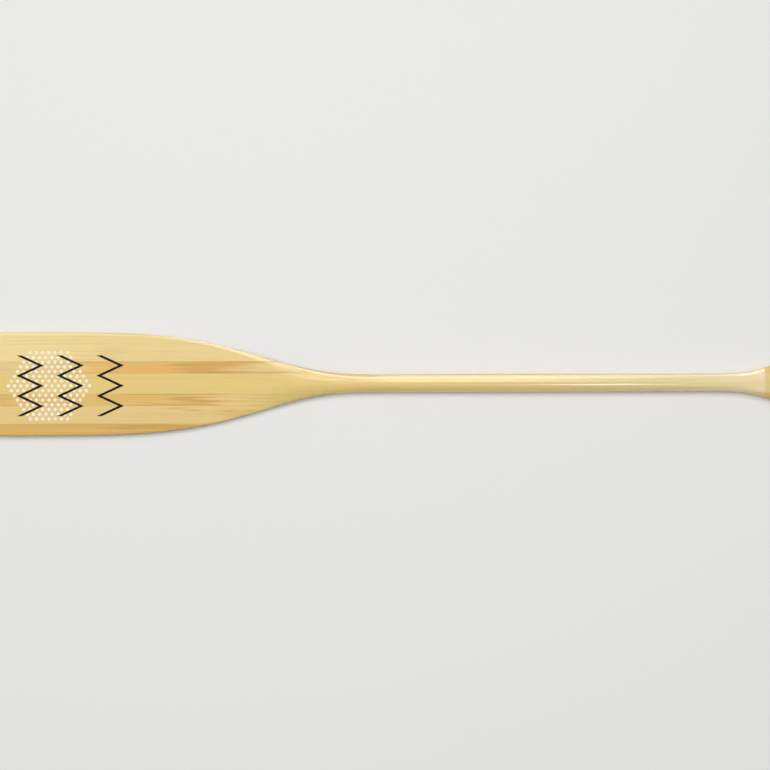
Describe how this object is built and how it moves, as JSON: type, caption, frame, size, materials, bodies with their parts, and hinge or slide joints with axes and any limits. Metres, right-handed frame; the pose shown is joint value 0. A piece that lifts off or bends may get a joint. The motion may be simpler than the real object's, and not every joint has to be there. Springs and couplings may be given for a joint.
{
  "type": "canoe paddle",
  "caption": "One-piece laminated wooden canoe paddle: a broad round-tipped blade carved from edge-glued staves, an oval shaft and a palm grip.",
  "frame": {"origin": "under the middle of the paddle, on the plane that its shaft rests on", "axes": "+X from the blade tip to the grip, +Z out of the blade's front face, +Y across the blade"},
  "size_m": [1.4, 0.1704, 0.0324],
  "materials": {
    "core_wood": "gloss varnish",
    "shaft_wood": "gloss varnish",
    "heartwood_stave": "gloss varnish",
    "grained_stave": "gloss varnish",
    "pale_stave": "gloss varnish",
    "dark_stave": "gloss varnish",
    "grip_wood": "satin oil",
    "tip_resin": "gloss"
  },
  "bodies": {
    "root": {"shaft_core": "core_wood", "shaft_front_lamination": "shaft_wood", "shaft_back_lamination": "shaft_wood", "blade_inner_stave_left": "heartwood_stave", "blade_inner_stave_right": "grained_stave", "blade_middle_stave_left": "pale_stave", "blade_middle_stave_right": "pale_stave", "blade_outer_stave_left": "pale_stave", "blade_outer_stave_right": "dark_stave", "grip_cheek_left": "grip_wood", "grip_cheek_right": "grip_wood", "tip_guard": "tip_resin"}
  },
  "joints": []
}
